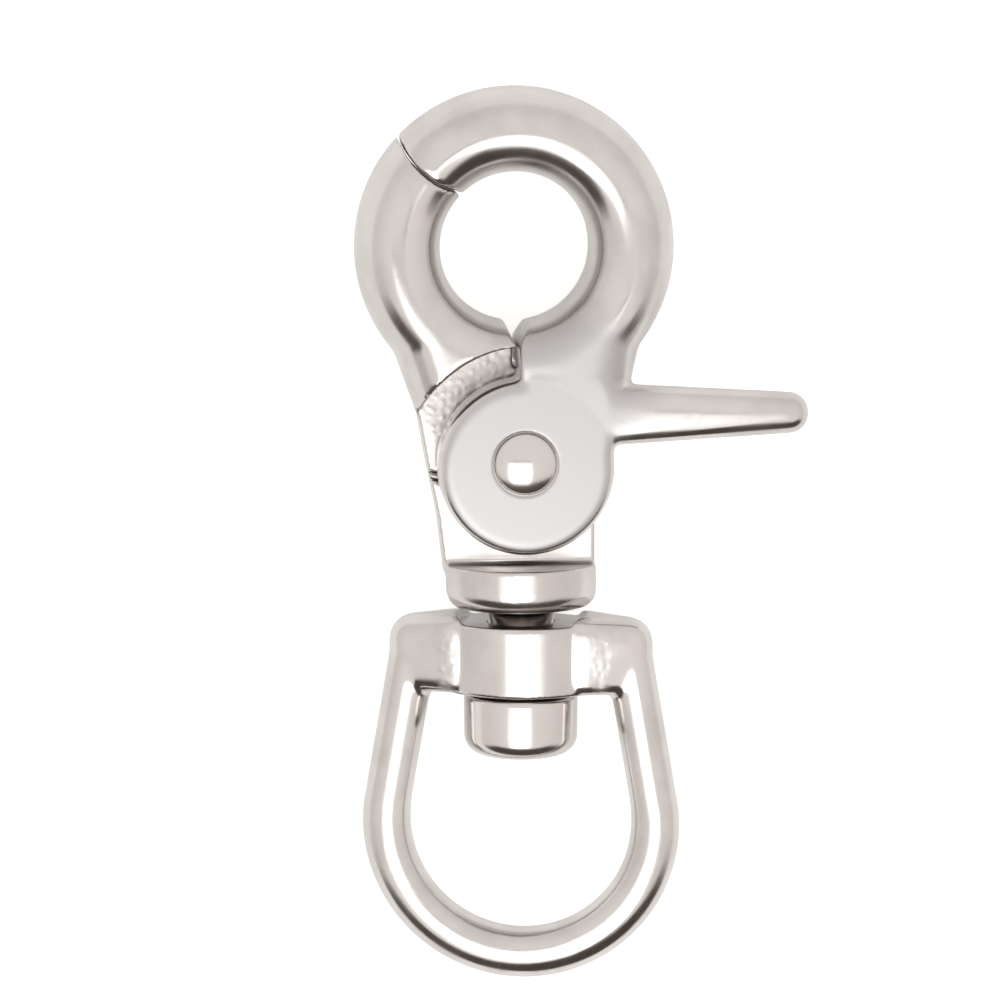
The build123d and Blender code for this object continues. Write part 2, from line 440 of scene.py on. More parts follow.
def turned(name: str, profile: Sequence[Flat], origin: Solid, axis: Solid) -> bpy.types.Object:
    """A piece turned on a lathe.

    Args:
        name: Name of the new piece.
        profile: Points as (distance along the axis, radius), in millimetres, from end to end.
        origin: A point on the axis, in millimetres.
        axis: Direction of the axis, along +Y or +Z.

    Returns:
        The new mesh object.
    """
    along = Vector(axis)
    start, out = Vector(origin), Vector((1, 0, 0))
    points = [tuple(start + along * run + out * reach) for run, reach in profile]
    piece = outline_ring(name, points, False)
    centre = tuple(Vector(origin) * MM)
    edit(
        piece,
        lambda: bpy.ops.mesh.spin(
            steps=ROUND_SIDES, angle=2 * math.pi, center=centre, axis=axis
        ),
    )
    close_up(piece)
    return piece


def bar(name: str, path: Sequence[Solid], radii: Sequence[float]) -> bpy.types.Object:
    """A round bar bent along a path.

    Args:
        name: Name of the new piece.
        path: Points of its middle line, in millimetres.
        radii: Its radius at each point.

    Returns:
        The new mesh object.
    """
    line = bpy.data.curves.new(name, "CURVE")
    line.dimensions = "3D"
    line.bevel_depth = MM
    line.bevel_resolution = 10
    line.use_fill_caps = True
    spline = line.splines.new("POLY")
    spline.points.add(len(path) - 1)
    for knot, point, radius in zip(spline.points, path, radii):
        knot.co = (*(Vector(point) * MM), 1.0)
        knot.radius = radius
    piece = bpy.data.objects.new(name, line)
    bpy.context.collection.objects.link(piece)
    take(piece)
    bpy.ops.object.convert(target="MESH")
    piece = bpy.context.active_object
    close_up(piece)
    return piece


def lens(half_width: float, half_depth: float, radius: float, count: int = 41) -> list[Flat]:
    """Outline of a bar whose front and back are flat arcs.

    Args:
        half_width: Half its width, in millimetres.
        half_depth: Half its depth at the middle.
        radius: Radius of the front and the back.
        count: Points on each arc.

    Returns:
        The outline as (x, z) about its middle.
    """
    reach = math.degrees(math.asin(half_width / radius))
    back = radius - half_depth
    front = arc((0, -back), radius, 90 + reach, 90 - reach, count)
    return front + arc((0, back), radius, reach - 90, -90 - reach, count)


# ---------------------------------------------------------------------------------------------
# The frame's own places and sizes
# ---------------------------------------------------------------------------------------------


@dataclass(frozen=True)
class Layout:
    """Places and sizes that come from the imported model, in millimetres.

    Args:
        ring: Centre of the ring.
        hole_radius: Radius of its hole.
        ring_radius: Outer radius of the ring.
        thickness: Thickness of the body.
        boss_bottom: Lower end of the boss.
        eye_top: Top of the eye's shoulders.
        eye_bottom: Lower end of the loop.
        head_bottom: Lower end of the stem's head.
        dome_top: Height of the rivet's dome.
        lever_tip: Far end of the thumb lever.
    """

    ring: Flat
    hole_radius: float
    ring_radius: float
    thickness: float
    boss_bottom: float
    eye_top: float
    eye_bottom: float
    head_bottom: float
    dome_top: float
    lever_tip: float

    @property
    def middle(self) -> float:
        """Height of the middle of the body."""
        return self.thickness / 2

    @classmethod
    def read(cls, record: dict) -> "Layout":
        """Reads the places from the frame's boxes and the record's mounts.

        Args:
            record: The part's record.

        Returns:
            The layout.
        """
        mounts = {mount["name"]: mount for mount in record["mounts"]}
        bore = mounts["ring_bore"]
        jaw_low, jaw_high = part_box("fixed_jaw")
        _, lever_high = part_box("lever_jaw")
        eye_low, eye_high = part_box("swivel_eye")
        stem_low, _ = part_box("swivel_stem")
        _, rivet_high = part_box("pivot_rivet")
        ring = (bore["pos_m"][0] / MM, bore["pos_m"][1] / MM)
        return cls(
            ring=ring,
            hole_radius=bore["dims"]["r_mm"],
            ring_radius=lever_high[1] / MM - ring[1],
            thickness=jaw_high[2] / MM,
            boss_bottom=jaw_low[1] / MM,
            eye_top=eye_high[1] / MM,
            eye_bottom=eye_low[1] / MM,
            head_bottom=stem_low[1] / MM,
            dome_top=rivet_high[2] / MM,
            lever_tip=lever_high[0] / MM,
        )


# ---------------------------------------------------------------------------------------------
# Finishes
# ---------------------------------------------------------------------------------------------


def to_linear(shade: str) -> tuple[float, float, float, float]:
    """Turns an sRGB hex colour into linear values.

    Args:
        shade: The colour, such as "#e0e0df".

    Returns:
        Red, green, blue and a full alpha.
    """
    parts = [int(shade[index : index + 2], 16) / 255 for index in (1, 3, 5)]
    linear = [p / 12.92 if p <= 0.04045 else ((p + 0.055) / 1.055) ** 2.4 for p in parts]
    return (*linear, 1.0)


def node(
    tree: bpy.types.NodeTree, kind: str, inputs: dict | None = None, **settings: object
) -> bpy.types.Node:
    """Adds a node with its settings and links.

    Args:
        tree: The node tree.
        kind: Type of the node.
        inputs: Values or output sockets, by input name or number.
        **settings: The node's own settings.

    Returns:
        The new node.
    """
    new = tree.nodes.new(kind)
    for name, value in settings.items():
        setattr(new, name, value)
    for name, value in (inputs or {}).items():
        if isinstance(value, bpy.types.NodeSocket):
            tree.links.new(value, new.inputs[name])
        else:
            new.inputs[name].default_value = value
    return new


def blend_in(tree: bpy.types.NodeTree, value: object, low: float, high: float) -> object:
    """A mask that rises smoothly.

    Args:
        tree: The node tree.
        value: The socket that it follows.
        low: Where it is 0.
        high: Where it is 1.

    Returns:
        The socket of the mask.
    """
    inputs = {"Value": value, "From Min": low, "From Max": high}
    fade = node(tree, "ShaderNodeMapRange", inputs, interpolation_type="SMOOTHSTEP")
    return fade.outputs["Result"]


def spread(tree: bpy.types.NodeTree, mask: object, low: float, high: float) -> object:
    """A value that follows a mask.

    Args:
        tree: The node tree.
        mask: The socket that it follows.
        low: The value where the mask is 0.
        high: The value where the mask is 1.

    Returns:
        The socket of the value.
    """
    inputs = {"Value": mask, "To Min": low, "To Max": high}
    return node(tree, "ShaderNodeMapRange", inputs).outputs["Result"]


def times(tree: bpy.types.NodeTree, *masks: object) -> object:
    """The product of several masks.

    Args:
        tree: The node tree.
        *masks: Their sockets.

    Returns:
        The socket of the product.
    """
    result = masks[0]
    for mask in masks[1:]:
        result = node(tree, "ShaderNodeMath", {0: result, 1: mask}, operation="MULTIPLY").outputs[0]
    return result


def mix_colour(tree: bpy.types.NodeTree, mask: object, base: object, other: object) -> object:
    """A colour that changes to another where a mask is 1.

    Args:
        tree: The node tree.
        mask: The socket of the mask.
        base: The colour where it is 0.
        other: The colour where it is 1.

    Returns:
        The socket of the colour.
    """
    inputs = {"Factor": mask, 6: base, 7: other}
    return node(tree, "ShaderNodeMix", inputs, data_type="RGBA").outputs[2]


def clouds(
    tree: bpy.types.NodeTree, place: object, size: float, detail: float, roughness: float = 0.5
) -> object:
    """Uneven patches of one size.

    Args:
        tree: The node tree.
        place: The socket of the place.
        size: Size of the patches, in millimetres.
        detail: How many finer layers lie in them.
        roughness: How strong those layers are.

    Returns:
        The socket of the pattern.
    """
    inputs = {"Vector": place, "Scale": 1 / (size * MM), "Detail": detail, "Roughness": roughness}
    return node(tree, "ShaderNodeTexNoise", inputs).outputs["Fac"]


def bump(
    tree: bpy.types.NodeTree,
    height: object,
    depth: float,
    strength: object = 1.0,
    below: object | None = None,
) -> object:
    """A fine relief.

    Args:
        tree: The node tree.
        height: The socket of its pattern.
        depth: Its depth, in millimetres.
        strength: How much of it shows.
        below: The socket of the relief that it lies on.

    Returns:
        The socket of the normal.
    """
    inputs = {"Height": height, "Strength": strength, "Distance": depth * MM}
    if below is not None:
        inputs["Normal"] = below
    return node(tree, "ShaderNodeBump", inputs).outputs[0]


def blank_material(name: str) -> bpy.types.Material:
    """A material with an empty node tree.

    Args:
        name: Its name.

    Returns:
        The new material.
    """
    material = bpy.data.materials.new(name)
    material.use_nodes = True
    material.node_tree.nodes.clear()
    return material


def set_surface(tree: bpy.types.NodeTree, inputs: dict) -> None:
    """Ends a material's tree in a surface.

    Args:
        tree: The node tree.
        inputs: The surface's values and sockets, by input name.
    """
    shader = node(tree, "ShaderNodeBsdfPrincipled", inputs)
    node(tree, "ShaderNodeOutputMaterial", {"Surface": shader.outputs[0]})


@dataclass(frozen=True)
class Zone:
    """A round region of a casting that has another surface than the rest.

    Args:
        centre: Its centre seen from the front, in millimetres.
        inner: Inner radius, 0 for a full disc.
        outer: Outer radius.
        low: Lower height.
        high: Upper height.
        soft: Width over which it fades, in millimetres.
        facing: How squarely a face looks to the front before it counts, 0 for any.
    """

    centre: Flat
    inner: float
    outer: float
    low: float
    high: float
    soft: float = 0.4
    facing: float = 0.0

    def mask(self, tree: bpy.types.NodeTree) -> object:
        """Builds the zone's mask.

        Args:
            tree: The material's node tree.

        Returns:
            The socket of the mask, 1 inside the zone.
        """
        place = node(tree, "ShaderNodeTexCoord").outputs["Object"]
        split = node(tree, "ShaderNodeSeparateXYZ", {0: place})
        flat = node(tree, "ShaderNodeCombineXYZ", {0: split.outputs[0], 1: split.outputs[1]})
        middle = (self.centre[0] * MM, self.centre[1] * MM, 0.0)
        away = node(
            tree, "ShaderNodeVectorMath", {0: flat.outputs[0], 1: middle}, operation="DISTANCE"
        ).outputs["Value"]
        height = split.outputs[2]
        soft = self.soft * MM
        parts = [
            blend_in(tree, away, self.outer * MM + soft, self.outer * MM - soft),
            blend_in(tree, height, self.low * MM - soft, self.low * MM + soft),
            blend_in(tree, height, self.high * MM + soft, self.high * MM - soft),
        ]
        if self.inner > 0:
            parts.append(blend_in(tree, away, self.inner * MM - soft, self.inner * MM + soft))
        if self.facing > 0:
            normal = node(tree, "ShaderNodeNewGeometry").outputs["Normal"]
            front = node(tree, "ShaderNodeSeparateXYZ", {0: normal}).outputs[2]
            parts.append(blend_in(tree, front, self.facing, (1 + self.facing) / 2))
        return times(tree, *parts)


@dataclass(frozen=True)
class PolishedCastSteel:
    """Investment-cast stainless steel, tumbled and buffed bright.

    Polishing leaves a warm mirror with a slight orange peel from the casting, hazier on ground
    flats and grainy where the wheel can't reach.

    Args:
        name: Name of the material.
        tint: Colour of the metal.
        shade: Colour in slightly duller patches.
        satin_tint: Colour of the ground flats.
        roughness: Roughness of the mirror.
        peel: Size of the orange peel's waves, in millimetres.
        peel_depth: Depth of those waves, in millimetres.
        satin: Zones ground flat with a fine wheel.
        raw: Zones left as cast.
        bead: Size of the grains of the raw surface, in millimetres.
        bead_height: Height of those grains, in millimetres.
        patch_size: Size of the duller patches, in millimetres.
        satin_roughness: Roughness of the ground flats.
        raw_roughness: Roughness of the raw surface.
        line: Distance between the grinding lines, in millimetres.
        line_depth: Their depth, in millimetres.
    """

    name: str
    tint: str = "#dad7d4"
    shade: str = "#cfcbc8"
    satin_tint: str = "#c3c2c1"
    roughness: float = 0.2
    peel: float = 2.6
    peel_depth: float = 0.004
    satin: tuple[Zone, ...] = ()
    raw: tuple[Zone, ...] = ()
    bead: float = 0.75
    bead_height: float = 0.1
    patch_size: float = 7.0
    satin_roughness: float = 0.42
    raw_roughness: float = 0.38
    line: float = 0.35
    line_depth: float = 0.006

    def material(self) -> bpy.types.Material:
        """Builds the material.

        Returns:
            The finished node material.
        """
        material = blank_material(self.name)
        tree = material.node_tree
        place = node(tree, "ShaderNodeTexCoord").outputs["Object"]
        patch = blend_in(tree, clouds(tree, place, self.patch_size, 3.0, 0.55), 0.35, 0.65)
        satin = self.sum_of(tree, self.satin)
        raw = self.sum_of(tree, self.raw)
        colour = mix_colour(tree, patch, to_linear(self.tint), to_linear(self.shade))
        rough = spread(tree, patch, self.roughness * 0.8, self.roughness * 1.25)
        if satin is not None:
            colour = mix_colour(tree, satin, colour, to_linear(self.satin_tint))
            rough = self.mixed(tree, satin, rough, self.satin_roughness)
        if raw is not None:
            rough = self.mixed(tree, raw, rough, self.raw_roughness)
        relief = self.relief(tree, place, satin, raw)
        metal = {"Base Color": colour, "Metallic": 1.0, "Roughness": rough, "Normal": relief}
        set_surface(tree, metal)
        return material

    def sum_of(self, tree: bpy.types.NodeTree, zones: Sequence[Zone]) -> object | None:
        """The mask of several zones together.

        Args:
            tree: The material's node tree.
            zones: The zones.

        Returns:
            The socket of the mask, or None without zones.
        """
        total = None
        for zone in zones:
            mask = zone.mask(tree)
            if total is not None:
                pair = {0: total, 1: mask}
                mask = node(tree, "ShaderNodeMath", pair, operation="MAXIMUM").outputs[0]
            total = mask
        return total

    def mixed(self, tree: bpy.types.NodeTree, mask: object, base: object, other: float) -> object:
        """A value that changes to another where the mask is 1."""
        inputs = {"Factor": mask, 2: base, 3: other}
        return node(tree, "ShaderNodeMix", inputs, data_type="FLOAT").outputs[0]

    def relief(
        self, tree: bpy.types.NodeTree, place: object, satin: object | None, raw: object | None
    ) -> object:
        """The orange peel, with grinding lines on the flats and grains where it is as cast.

        Args:
            tree: The material's node tree.
            place: The socket of the place.
            satin: The mask of the flats.
            raw: The mask of the surface left as cast.

        Returns:
            The socket of the normal.
        """
        normal = bump(tree, clouds(tree, place, self.peel, 2.0, 0.45), self.peel_depth)
        if satin is not None:
            lines = clouds(tree, place, self.line, 4.0, 0.7)
            normal = bump(tree, lines, self.line_depth, satin, normal)
        if raw is not None:
            spots = {"Vector": place, "Scale": 1 / (self.bead * MM), "Randomness": 0.8}
            grains = node(tree, "ShaderNodeTexVoronoi", spots, feature="SMOOTH_F1")
            normal = bump(tree, grains.outputs["Distance"], -self.bead_height, raw, normal)
        return normal


@dataclass(frozen=True)
class TurnedSteel:
    """Stainless bar turned on a lathe and polished.

    It is a clear mirror with faint rings round its axis.

    Args:
        name: Name of the material.
        tint: Colour of the metal.
        roughness: Roughness of the mirror.
        axis: 1 for rings about Y, 2 for rings about Z.
        pitch: Distance between the rings, in millimetres.
        ring_depth: Depth of the rings, in millimetres.
        haze_size: Size of the hazier patches, in millimetres.
    """

    name: str
    tint: str = "#dad6d2"
    roughness: float = 0.17
    axis: int = 2
    pitch: float = 0.3
    ring_depth: float = 0.0012
    haze_size: float = 3.0

    def material(self) -> bpy.types.Material:
        """Builds the material.

        Returns:
            The finished node material.
        """
        material = blank_material(self.name)
        tree = material.node_tree
        place = node(tree, "ShaderNodeTexCoord").outputs["Object"]
        along = node(tree, "ShaderNodeSeparateXYZ", {0: place}).outputs[self.axis]
        waves = {"W": along, "Scale": 1 / (self.pitch * MM), "Detail": 2.0}
        rings = node(tree, "ShaderNodeTexNoise", waves, noise_dimensions="1D").outputs["Fac"]
        haze = clouds(tree, place, self.haze_size, 3.0)
        metal = {
            "Base Color": to_linear(self.tint),
            "Metallic": 1.0,
            "Roughness": spread(tree, haze, self.roughness * 0.7, self.roughness * 1.4),
            "Normal": bump(tree, rings, self.ring_depth),
        }
        set_surface(tree, metal)
        return material


@dataclass(frozen=True)
class StudioPaper:
    """Matt white paper under the hook, very slightly uneven.

    Args:
        name: Name of the material.
        tint: Its colour.
        glow: How brightly it gives light.
    """

    name: str = "studio_paper"
    tint: str = "#e0e0df"
    glow: float = 0.0

    def material(self) -> bpy.types.Material:
        """Builds the material.

        Returns:
            The finished node material.
        """
        material = blank_material(self.name)
        tree = material.node_tree
        place = node(tree, "ShaderNodeTexCoord").outputs["Object"]
        fibre = node(tree, "ShaderNodeTexNoise", {"Vector": place, "Scale": 900.0}).outputs["Fac"]
        paper = {
            "Base Color": to_linear(self.tint),
            "Roughness": 0.9,
            "Normal": bump(tree, fibre, 0.05, 0.1),
            "Emission Color": to_linear(self.tint),
            "Emission Strength": self.glow,
        }
        set_surface(tree, paper)
        material.cycles.emission_sampling = "NONE"
        return material


# ---------------------------------------------------------------------------------------------
# The pieces
# ---------------------------------------------------------------------------------------------


@dataclass
class CastRing:
    """The closed ring that both jaws are cut from.

    Args:
        layout: Places and sizes of the frame.
        crest: Radius of the ring's highest line.
        wall: Height of the straight wall of the hole.
        joint_x: Where the jaws part under the hole.
        joint_gap: Gap between them there.
        notch_width: Half width of the V notch, at its cut outline.
        notch_depth: Depth of the V notch.
        mouth_angle: Bearing of the mouth from the centre of the ring, in degrees.
        nose_radius: Radius of the lever jaw's nose.
        nose_height: How far it stands out.
        nose_gap: Gap at the mouth.
        nose_outset: How far the nose's middle lies outside the middle of the section.
        plug_lap: How much larger than the hole its plug is.
        far: A length well beyond the hook.
    """

    layout: Layout
    crest: float = 11.8
    wall: float = 2.0
    joint_x: float = -0.7
    joint_gap: float = 0.3
    notch_width: float = 2.2
    notch_depth: float = 2.4
    mouth_angle: float = 136.2
    nose_radius: float = 7.9
    nose_height: float = 0.95
    nose_gap: float = 0.15
    nose_outset: float = 0.5
    plug_lap: float = 0.06
    far: float = 80.0

    @property
    def inner(self) -> float:
        """Half width of the section's inner side."""
        return self.crest - self.layout.hole_radius

    @property
    def rise(self) -> float:
        """Half height of the section's inner side, less the wall."""
        return (self.layout.thickness - self.wall) / 2

    def section(self) -> list[Flat]:
        """The oval section, as (radius, height).

        Returns:
            Its points, in order.
        """
        lay = self.layout
        outer = lay.ring_radius - self.crest
        points = []
        for step in range(BORE_SIDES):
            turn = 2 * math.pi * (step + 0.5) / BORE_SIDES
            across, up = math.cos(turn), math.sin(turn)
            if across > 0:
                points.append((self.crest + outer * across, lay.middle + lay.middle * up))
            else:
                lift = math.copysign(self.wall / 2, up)
                height = lay.middle + lift + self.rise * up
                points.append((self.crest + self.inner * across, height))
        return points

    def whole(self) -> bpy.types.Object:
        """The ring before it is cut.

        Returns:
            The new mesh object.
        """
        lay = self.layout
        points = [(lay.ring[0] + reach, lay.ring[1], height) for reach, height in self.section()]
        piece = outline_ring("ring", points, False)
        centre = (lay.ring[0] * MM, lay.ring[1] * MM, 0)
        edit(
            piece,
            lambda: bpy.ops.mesh.spin(
                steps=RING_STEPS, angle=2 * math.pi, center=centre, axis=(0, 0, 1)
            ),
        )
        close_up(piece)
        return piece

    def plug(self) -> bpy.types.Object:
        """The hourglass that fills the hole, a little larger than it.

        Returns:
            The new mesh object.
        """
        lay = self.layout
        x, y = lay.ring
        profile = [(-1.0, 0.0), (-1.0, self.crest)]
        for step in range(33):
            turn = math.pi * (step / 32 - 0.5)
            lift = math.copysign(self.wall / 2, turn)
            reach = self.crest - self.inner * math.cos(turn) + self.plug_lap
            profile.append((lay.middle + lift + self.rise * math.sin(turn), reach))
        profile += [(lay.thickness + 1, self.crest), (lay.thickness + 1, 0.0)]
        return turned("plug", profile, (x, y, 0), (0, 0, 1))

    def at(self, radius: float, bearing: float) -> Flat:
        """A point seen from the centre of the ring.

        Args:
            radius: How far away it is, in millimetres.
            bearing: Its direction, in degrees from X.

        Returns:
            The point, seen from the front.
        """
        turn = math.radians(bearing)
        x, y = self.layout.ring
        return x + radius * math.cos(turn), y + radius * math.sin(turn)

    def nose(self, extra: float) -> bpy.types.Object:
        """The round column that shapes the nose.

        Args:
            extra: How much larger than the nose it is, in millimetres.

        Returns:
            The new mesh object.
        """
        lay = self.layout
        turn = math.radians(self.mouth_angle)
        radius = (lay.ring_radius + lay.hole_radius) / 2 + self.nose_outset
        x, y = self.at(radius, self.mouth_angle)
        reach = self.nose_radius - self.nose_height
        centre = (x + reach * math.sin(turn), y - reach * math.cos(turn))
        return drum("nose", centre, self.nose_radius + extra, -1, lay.thickness + 1)

    def fixed_side(self, edge_x: float) -> bpy.types.Object:
        """All that lies on the fixed jaw's side of the joint and the mouth.

        Args:
            edge_x: Where that side ends under the hole.

        Returns:
            The new mesh object.
        """
        mouth = self.at(self.far, self.mouth_angle)
        outline = [
            (edge_x, self.layout.ring[1]),
            mouth,
            (-self.far, mouth[1]),
            (-self.far, -self.far),
            (edge_x, -self.far),
        ]
        return slab("fixed_side", outline, -5, self.layout.thickness + 5)

    def notch(self) -> bpy.types.Object:
        """The V between the jaws at the edge of the hole.

        Returns:
            The new mesh object.
        """
        edge = self.layout.ring[1] - self.layout.hole_radius
        outline = [
            (self.joint_x - self.notch_width, edge + self.notch_depth),
            (self.joint_x + self.notch_width, edge + self.notch_depth),
            (self.joint_x, edge - self.notch_depth),
        ]
        return slab("notch", outline, -1, self.layout.thickness + 1)


@dataclass
class Pivot:
    """What the two laps and the rivet share.

    Args:
        lap_gap: Gap between the laps.
        shank: Radius of the rivet's shank.
        hole: Radius of the hole in the lever jaw.
        head: Radius of the domed head.
        seat: Radius of the shallow seat round it.
        seat_depth: Depth of the seat.
        tail: Radius of the tail.
        tail_depth: Depth of the tail.
        coil: Radius of the spring, to the middle of its wire.
        coil_room: Half width of the groove that the spring lies in.
        coil_depth: Depth of the groove in each lap.
        slip: Room between the shank and the fixed jaw.
        swage: How far the peened tail fills out beyond its seat.
    """

    lap_gap: float = 0.2
    shank: float = 2.25
    hole: float = 2.3
    head: float = 3.0
    seat: float = 3.3
    seat_depth: float = 0.5
    tail: float = 3.0
    tail_depth: float = 0.9
    coil: float = 3.9
    coil_room: float = 0.6
    coil_depth: float = 1.3
    slip: float = 0.05
    swage: float = 0.15

    def groove(self, low: float, high: float) -> bpy.types.Object:
        """The round groove for the spring.

        Args:
            low: Its lower height.
            high: Its upper height.

        Returns:
            The new mesh object.
        """
        outer = drum("groove", (0, 0), self.coil + self.coil_room, low, high)
        cut(outer, drum("core", (0, 0), self.coil - self.coil_room, low - 1, high + 1))
        return outer


@dataclass
class FixedJaw:
    """The left jaw with its lap and the boss for the stem, cast in one piece.

    Args:
        layout: Places and sizes of the frame.
        ring: The ring that it is cut from.
        pivot: The joint that it shares.
        step_radius: Radius of the step down from the ring to the lap.
        plate_radius: Radius of the lap's right end.
        plate_edge: Rounding of the lap's edges.
        boss_width: Width of the boss.
        boss_front: Radius of its bowed front and back.
        boss_top: Upper end of the boss.
        boss_edge: Rounding of its lower end.
        root_lumps: What thickens the jaw between the ring and the lap.
        stem_hole: Radius of the blind hole for the stem.
        stem_grip: Depth of that hole.
        grain: Size of the cells of the skin.
        blend_rounds: Rounds of smoothing between the ring and its root.
        step_rounds: Rounds of smoothing at the step.
        last_rounds: Rounds of smoothing at the end.
    """

    layout: Layout
    ring: CastRing
    pivot: Pivot
    step_radius: float = 11.55
    plate_radius: float = 8.9
    plate_edge: float = 0.35
    boss_width: float = 15.0
    boss_front: float = 8.5
    boss_top: float = -10.9
    boss_edge: float = 2.0
    root_lumps: tuple[Lump, ...] = (
        Lump((-8.9, 13.2), (4.5, 4.5)),
        Lump((-6.2, 6.6), (4.7, 4.6), squareness=2.3),
        Lump((-2.0, 10.4), (3.2, 3.0), squareness=2.3),
    )
    stem_hole: float = 3.35
    stem_grip: float = 4.0
    grain: float = 0.18
    blend_rounds: int = 24
    step_rounds: int = 18
    last_rounds: int = 3

    def plate(self) -> bpy.types.Object:
        """The lap that lies behind the disc.

        Returns:
            The new mesh object.
        """
        top = self.layout.middle - self.pivot.lap_gap / 2
        half = self.boss_width / 2
        outline = [
            (-10.45, 5.2),
            (-9.25, -1.5),
            (-8.3, -6.0),
            (-half, self.boss_top - 1.5),
            (half, self.boss_top - 1.5),
            (half, -4.9),
        ]
        outline += arc((0, 0), self.plate_radius, -33, 90, 40) + [(-6, 9.5), (-9.6, 8.0)]
        piece = slab("plate", outline, 0, top)
        soften(piece, self.plate_edge, 3)
        return piece

    def boss(self) -> bpy.types.Object:
        """The boss that holds the stem.

        Returns:
            The new mesh object.
        """
        mid = self.layout.middle
        section = lens(self.boss_width / 2, mid, self.boss_front)
        length = self.boss_top - self.layout.boss_bottom
        points = [(x, self.boss_top, mid + z) for x, z in section]
        piece = prism("boss", points, (0, -length, 0))
        round_end(piece, self.layout.boss_bottom, self.boss_edge)
        return piece

    def build(self) -> bpy.types.Object:
        """Builds the casting.

        Returns:
            The finished mesh.
        """
        lay = self.layout
        top = lay.middle - self.pivot.lap_gap / 2
        high = lay.thickness + 1
        root = skin_over("root", self.root_lumps, lay.middle)
        cut(root, self.ring.plug())
        piece = join("fixed_jaw_casting", [self.ring.whole(), root])
        cast_skin(piece, self.grain, self.blend_rounds)
        cut(piece, drum("step", (0, 0), self.step_radius, top, high))
        cut(piece, slab("below", [(-20, -14), (20, -14), (20, 2), (-20, 2)], top, high))
        cast_skin(piece, self.grain, self.step_rounds)
        cut(piece, self.ring.fixed_side(self.ring.joint_x - self.ring.joint_gap / 2), Cut.KEEP)
        cut(piece, self.ring.nose(self.ring.nose_gap))
        piece = join("fixed_jaw_casting", [piece, self.plate(), self.boss()])
        cast_skin(piece, self.grain, 0)
        cut(piece, self.ring.notch())
        cut(piece, drum("shank", (0, 0), self.pivot.shank + self.pivot.slip, -1, high))
        tail = self.pivot.tail - self.pivot.swage
        cut(piece, drum("tail", (0, 0), tail, -1, self.pivot.tail_depth))
        cut(piece, self.pivot.groove(top - self.pivot.coil_depth, top + 1))
        cut(piece, self.leg_slot(top))
        low = lay.boss_bottom
        cut(piece, rod("stem_hole", self.stem_hole, lay.middle, low - 1, low + self.stem_grip))
        cast_skin(piece, self.grain, self.last_rounds)
        return piece

    def leg_slot(self, top: float) -> bpy.types.Object:
        """The slot that the spring's leg leaves by.

        Args:
            top: Height of the lap's face.

        Returns:
            The new mesh object.
        """
        outline = [(-0.75, -4.25), (-0.88, -3.3), (-12.0, -0.7), (-12.0, -1.65)]
        return slab("leg_slot", outline, top - self.pivot.coil_depth, top + 1)


